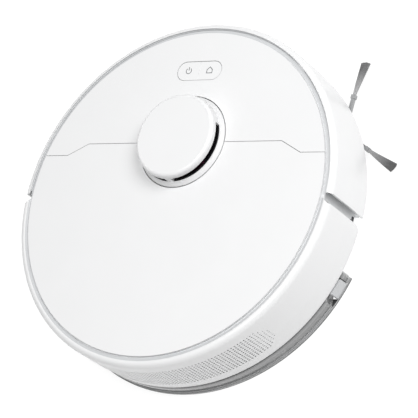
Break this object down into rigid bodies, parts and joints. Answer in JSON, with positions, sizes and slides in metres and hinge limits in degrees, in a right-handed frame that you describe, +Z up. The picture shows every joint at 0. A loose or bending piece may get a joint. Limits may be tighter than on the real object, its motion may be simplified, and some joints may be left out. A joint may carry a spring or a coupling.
{
  "type": "robot vacuum",
  "caption": "Round robot vacuum with a laser turret, hinged dust lid, sprung bumper, side brush, main brush, drive wheels and a rear mop module with its pad.",
  "frame": {"origin": "on the floor under the middle of the round body", "axes": "+Z up, +Y to the front where the bumper is, +X to the right as the machine drives"},
  "size_m": [0.3654, 0.35, 0.097],
  "materials": {
    "white_shell": "satin white moulded plastic",
    "grey_moulding": "light grey moulded plastic",
    "dark_moulding": "near black moulded plastic",
    "smoked_plastic": "glossy black plastic",
    "lens_glass": "dark red-black glass",
    "tank_plastic": "translucent grey plastic",
    "latch_grey": "mid grey plastic",
    "soft_rubber": "soft dark rubber",
    "tread_rubber": "ribbed rubber",
    "hub_grey": "grey plastic",
    "brush_arm": "grey flexible plastic",
    "bristle": "grey nylon filament",
    "pad_cloth": "looped microfibre cloth",
    "filter_paper": "pleated filter paper",
    "bin_plastic": "smoky translucent plastic",
    "impeller_plastic": "white nylon",
    "steel": "bright steel",
    "contact_metal": "nickel plate",
    "board_green": "green circuit board",
    "battery_wrap": "dark blue film wrap",
    "speaker_black": "black coated steel"
  },
  "bodies": {
    "main": {"chassis": "grey_moulding", "rear_shell": "white_shell", "inner_deck": "grey_moulding", "front_cover": "white_shell", "lid_hinge_pins": "steel", "bumper_springs": "steel", "bumper_switches": "dark_moulding", "button_board": "board_green", "turret_base": "white_shell", "turret_cap": "white_shell", "lidar_base": "dark_moulding", "lidar_motor": "steel", "lidar_belt": "soft_rubber", "dust_box": "bin_plastic", "dust_box_door": "bin_plastic", "filter_frame": "dark_moulding", "filter_pleats": "filter_paper", "dust_box_handle": "dark_moulding", "fan_housing": "dark_moulding", "battery_pack": "battery_wrap", "main_board": "board_green", "speaker": "speaker_black", "cliff_sensors": "smoked_plastic", "charging_contacts": "contact_metal", "underside_screws": "steel", "brush_housing": "dark_moulding", "brush_gear_motor": "dark_moulding", "side_brush_motor": "dark_moulding", "wheel_housings": "dark_moulding"},
    "bumper": {"bumper": "white_shell", "dock_sensor_window": "smoked_plastic"},
    "lid": {"dust_lid": "white_shell"},
    "power_button": {"power_button": "white_shell"},
    "home_button": {"home_button": "white_shell"},
    "lidar": {"lidar_rotor": "smoked_plastic", "lidar_lenses": "lens_glass"},
    "belt_pulley": {"motor_pulley": "impeller_plastic"},
    "inlet_flap": {"inlet_flap": "bin_plastic"},
    "impeller": {"fan_impeller": "impeller_plastic"},
    "main_brush": {"main_brush_roller": "hub_grey", "main_brush_blades": "soft_rubber"},
    "brush_guard": {"brush_guard": "dark_moulding"},
    "side_brush": {"side_brush_hub": "brush_arm", "side_brush_bristles": "bristle", "side_brush_screw": "steel"},
    "arm_right": {"wheel_arm_right": "dark_moulding"},
    "arm_left": {"wheel_arm_left": "dark_moulding"},
    "wheel_right": {"wheel_hub_right": "hub_grey", "tyre_right": "tread_rubber"},
    "wheel_left": {"wheel_hub_left": "hub_grey", "tyre_left": "tread_rubber"},
    "caster_fork": {"caster_fork": "dark_moulding"},
    "caster_wheel": {"caster_wheel": "hub_grey"},
    "mop_module": {"tank_body": "tank_plastic", "tank_plug": "soft_rubber", "mop_plate": "latch_grey", "mop_pad": "pad_cloth"},
    "latch_right": {"tank_latch_right": "latch_grey"},
    "latch_left": {"tank_latch_left": "latch_grey"}
  },
  "joints": [
    {"name": "bumper_press", "type": "slide", "parent": "main", "child": "bumper", "axis": [0, -1, 0], "range_m": [0, 0.0037], "stiffness_N_per_m": 300, "springref_m": -0.003, "deforming": ["bumper_springs"]},
    {"name": "lid_hinge", "type": "hinge", "parent": "main", "child": "lid", "pos_m": [0, 0.0605, 0.0765], "axis": [-1, 0, 0], "range_deg": [0, 75]},
    {"name": "power_button_press", "type": "slide", "parent": "main", "child": "power_button", "axis": [0, 0, -1], "range_m": [0, 0.0006], "stiffness_N_per_m": 1500, "springref_m": -0.0003},
    {"name": "home_button_press", "type": "slide", "parent": "main", "child": "home_button", "axis": [0, 0, -1], "range_m": [0, 0.0006], "stiffness_N_per_m": 1500, "springref_m": -0.0003},
    {"name": "lidar_spin", "type": "hinge", "parent": "main", "child": "lidar", "pos_m": [0, 0.0505, 0.08], "axis": [0, 0, 1], "continuous": true},
    {"name": "belt_pulley_spin", "type": "hinge", "parent": "main", "child": "belt_pulley", "pos_m": [0, 0.1045, 0.067], "axis": [0, 0, 1], "continuous": true},
    {"name": "inlet_flap_swing", "type": "hinge", "parent": "main", "child": "inlet_flap", "pos_m": [0, -0.0268, 0.0446], "axis": [-1, 0, 0], "range_deg": [0, 60]},
    {"name": "fan_spin", "type": "hinge", "parent": "main", "child": "impeller", "pos_m": [0, -0.132, 0.046], "axis": [0, 0, 1], "continuous": true},
    {"name": "main_brush_spin", "type": "hinge", "parent": "main", "child": "main_brush", "pos_m": [0.002, 0.013, 0.0214], "axis": [1, 0, 0], "continuous": true},
    {"name": "brush_guard_release", "type": "slide", "parent": "main", "child": "brush_guard", "axis": [0, 0, -1], "range_m": [0, 0.03]},
    {"name": "side_brush_spin", "type": "hinge", "parent": "main", "child": "side_brush", "pos_m": [0.129, 0.091, 0.01], "axis": [0, 0, 1], "continuous": true},
    {"name": "suspension_right", "type": "hinge", "parent": "main", "child": "arm_right", "pos_m": [0.118, 0.042, 0.033], "axis": [1, 0, 0], "range_deg": [0, 25], "stiffness_Nm_per_rad": 0.2, "springref_deg": 42.97, "deforming": ["side_brush_bristles"]},
    {"name": "suspension_left", "type": "hinge", "parent": "main", "child": "arm_left", "pos_m": [-0.118, 0.042, 0.033], "axis": [1, 0, 0], "range_deg": [0, 25], "stiffness_Nm_per_rad": 0.2, "springref_deg": 42.97},
    {"name": "wheel_roll_right", "type": "hinge", "parent": "arm_right", "child": "wheel_right", "pos_m": [0.118, 0, 0.033], "axis": [1, 0, 0], "continuous": true},
    {"name": "wheel_roll_left", "type": "hinge", "parent": "arm_left", "child": "wheel_left", "pos_m": [-0.118, 0, 0.033], "axis": [1, 0, 0], "continuous": true},
    {"name": "caster_swivel", "type": "hinge", "parent": "main", "child": "caster_fork", "pos_m": [0, 0.132, 0.03], "axis": [0, 0, 1], "continuous": true},
    {"name": "caster_roll", "type": "hinge", "parent": "caster_fork", "child": "caster_wheel", "pos_m": [0, 0.127, 0.013], "axis": [1, 0, 0], "continuous": true},
    {"name": "mop_module_release", "type": "slide", "parent": "main", "child": "mop_module", "axis": [0, -1, 0], "range_m": [0, 0.12]},
    {"name": "latch_press_right", "type": "slide", "parent": "mop_module", "child": "latch_right", "axis": [-1, 0, 0], "range_m": [0, 0.003], "stiffness_N_per_m": 600, "springref_m": -0.001},
    {"name": "latch_press_left", "type": "slide", "parent": "mop_module", "child": "latch_left", "axis": [1, 0, 0], "range_m": [0, 0.003], "stiffness_N_per_m": 600, "springref_m": -0.001}
  ],
  "couplings": [
    {"joint": "belt_pulley_spin", "follows": "lidar_spin", "ratio": 6}
  ]
}
